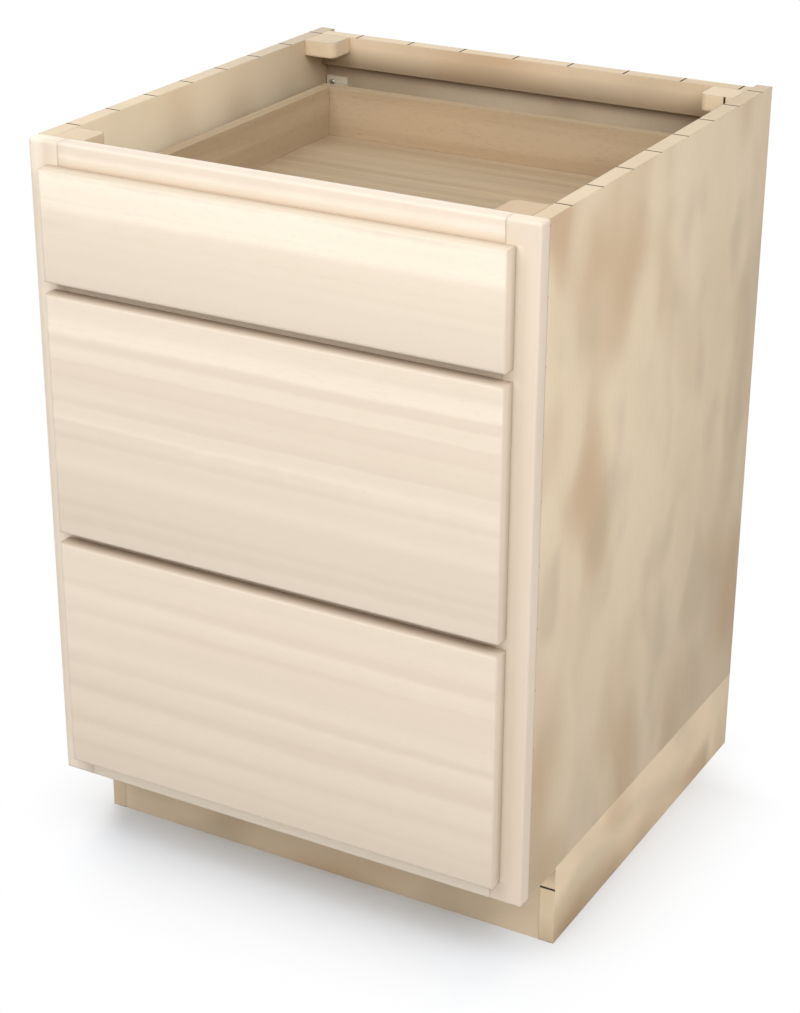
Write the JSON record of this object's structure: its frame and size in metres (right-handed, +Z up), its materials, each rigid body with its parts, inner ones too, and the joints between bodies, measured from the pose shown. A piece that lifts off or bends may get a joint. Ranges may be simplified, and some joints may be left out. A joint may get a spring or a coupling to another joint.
{
  "type": "base cabinet with drawers",
  "caption": "Unfinished wooden base cabinet with a face frame, overlay slab drawer fronts, dovetailed boxes on full-extension ball-bearing slides, an open top and a toe kick.",
  "frame": {"origin": "centre of the footprint, on the floor", "axes": "+Z up, -Y the front with the drawer fronts, +X to the right seen from the front"},
  "size_m": [0.6096, 0.6304, 0.8763],
  "materials": {
    "plywood": "unfinished plywood, sanded",
    "carcass_wood": "unfinished solid wood, sanded",
    "face_wood": "unfinished pale solid wood, sanded smooth",
    "box_wood": "unfinished solid wood, sanded",
    "slide_steel": "bright zinc-plated, rolled",
    "screw_steel": "zinc-plated",
    "white_nylon": "moulded nylon",
    "black_nylon": "moulded nylon",
    "bumper_pad": "clear soft pad"
  },
  "bodies": {
    "cabinet": {"back_panel": "plywood", "back_rail": "carcass_wood", "bottom_slide_cabinet_members": "slide_steel", "cabinet_floor": "plywood", "cabinet_slide_screws": "screw_steel", "corner_blocks": "carcass_wood", "frame_rail_bottom": "face_wood", "frame_rail_lower": "face_wood", "frame_rail_top": "face_wood", "frame_rail_upper": "face_wood", "middle_slide_cabinet_members": "slide_steel", "rear_base_rail": "carcass_wood", "rear_slide_sockets": "white_nylon", "side_left": "plywood", "side_right": "plywood", "socket_screws": "screw_steel", "stile_left": "face_wood", "stile_right": "face_wood", "toe_kick_board": "plywood", "top_slide_cabinet_members": "slide_steel"},
    "top_drawer": {"top_drawer_front": "face_wood", "top_box_front": "box_wood", "top_box_back": "box_wood", "top_box_side_left": "box_wood", "top_box_side_right": "box_wood", "top_box_bottom": "box_wood", "top_front_screws": "screw_steel", "top_slide_screws": "screw_steel", "top_bumpers": "bumper_pad", "top_slide_drawer_members": "slide_steel"},
    "top_middle_members": {"top_slide_middle_members": "slide_steel"},
    "top_outer_cages": {"top_slide_outer_cages": "black_nylon"},
    "top_inner_cages": {"top_slide_inner_cages": "black_nylon"},
    "middle_drawer": {"middle_drawer_front": "face_wood", "middle_box_front": "box_wood", "middle_box_back": "box_wood", "middle_box_side_left": "box_wood", "middle_box_side_right": "box_wood", "middle_box_bottom": "box_wood", "middle_front_screws": "screw_steel", "middle_slide_screws": "screw_steel", "middle_bumpers": "bumper_pad", "middle_slide_drawer_members": "slide_steel"},
    "middle_middle_members": {"middle_slide_middle_members": "slide_steel"},
    "middle_outer_cages": {"middle_slide_outer_cages": "black_nylon"},
    "middle_inner_cages": {"middle_slide_inner_cages": "black_nylon"},
    "bottom_drawer": {"bottom_drawer_front": "face_wood", "bottom_box_front": "box_wood", "bottom_box_back": "box_wood", "bottom_box_side_left": "box_wood", "bottom_box_side_right": "box_wood", "bottom_box_bottom": "box_wood", "bottom_front_screws": "screw_steel", "bottom_slide_screws": "screw_steel", "bottom_bumpers": "bumper_pad", "bottom_slide_drawer_members": "slide_steel"},
    "bottom_middle_members": {"bottom_slide_middle_members": "slide_steel"},
    "bottom_outer_cages": {"bottom_slide_outer_cages": "black_nylon"},
    "bottom_inner_cages": {"bottom_slide_inner_cages": "black_nylon"}
  },
  "joints": [
    {"name": "top_drawer_slide", "type": "slide", "parent": "cabinet", "child": "top_drawer", "axis": [0, -1, 0], "range_m": [0, 0.533]},
    {"name": "top_middle_members_slide", "type": "slide", "parent": "cabinet", "child": "top_middle_members", "axis": [0, -1, 0], "range_m": [0, 0.2666]},
    {"name": "top_outer_cages_slide", "type": "slide", "parent": "cabinet", "child": "top_outer_cages", "axis": [0, -1, 0], "range_m": [0, 0.1334]},
    {"name": "top_inner_cages_slide", "type": "slide", "parent": "cabinet", "child": "top_inner_cages", "axis": [0, -1, 0], "range_m": [0, 0.3999]},
    {"name": "middle_drawer_slide", "type": "slide", "parent": "cabinet", "child": "middle_drawer", "axis": [0, -1, 0], "range_m": [0, 0.533]},
    {"name": "middle_middle_members_slide", "type": "slide", "parent": "cabinet", "child": "middle_middle_members", "axis": [0, -1, 0], "range_m": [0, 0.2666]},
    {"name": "middle_outer_cages_slide", "type": "slide", "parent": "cabinet", "child": "middle_outer_cages", "axis": [0, -1, 0], "range_m": [0, 0.1334]},
    {"name": "middle_inner_cages_slide", "type": "slide", "parent": "cabinet", "child": "middle_inner_cages", "axis": [0, -1, 0], "range_m": [0, 0.3999]},
    {"name": "bottom_drawer_slide", "type": "slide", "parent": "cabinet", "child": "bottom_drawer", "axis": [0, -1, 0], "range_m": [0, 0.533]},
    {"name": "bottom_middle_members_slide", "type": "slide", "parent": "cabinet", "child": "bottom_middle_members", "axis": [0, -1, 0], "range_m": [0, 0.2666]},
    {"name": "bottom_outer_cages_slide", "type": "slide", "parent": "cabinet", "child": "bottom_outer_cages", "axis": [0, -1, 0], "range_m": [0, 0.1334]},
    {"name": "bottom_inner_cages_slide", "type": "slide", "parent": "cabinet", "child": "bottom_inner_cages", "axis": [0, -1, 0], "range_m": [0, 0.3999]}
  ],
  "couplings": [
    {"joint": "top_middle_members_slide", "follows": "top_drawer_slide", "ratio": 0.5},
    {"joint": "top_outer_cages_slide", "follows": "top_drawer_slide", "ratio": 0.25},
    {"joint": "top_inner_cages_slide", "follows": "top_drawer_slide", "ratio": 0.75},
    {"joint": "middle_middle_members_slide", "follows": "middle_drawer_slide", "ratio": 0.5},
    {"joint": "middle_outer_cages_slide", "follows": "middle_drawer_slide", "ratio": 0.25},
    {"joint": "middle_inner_cages_slide", "follows": "middle_drawer_slide", "ratio": 0.75},
    {"joint": "bottom_middle_members_slide", "follows": "bottom_drawer_slide", "ratio": 0.5},
    {"joint": "bottom_outer_cages_slide", "follows": "bottom_drawer_slide", "ratio": 0.25},
    {"joint": "bottom_inner_cages_slide", "follows": "bottom_drawer_slide", "ratio": 0.75}
  ]
}
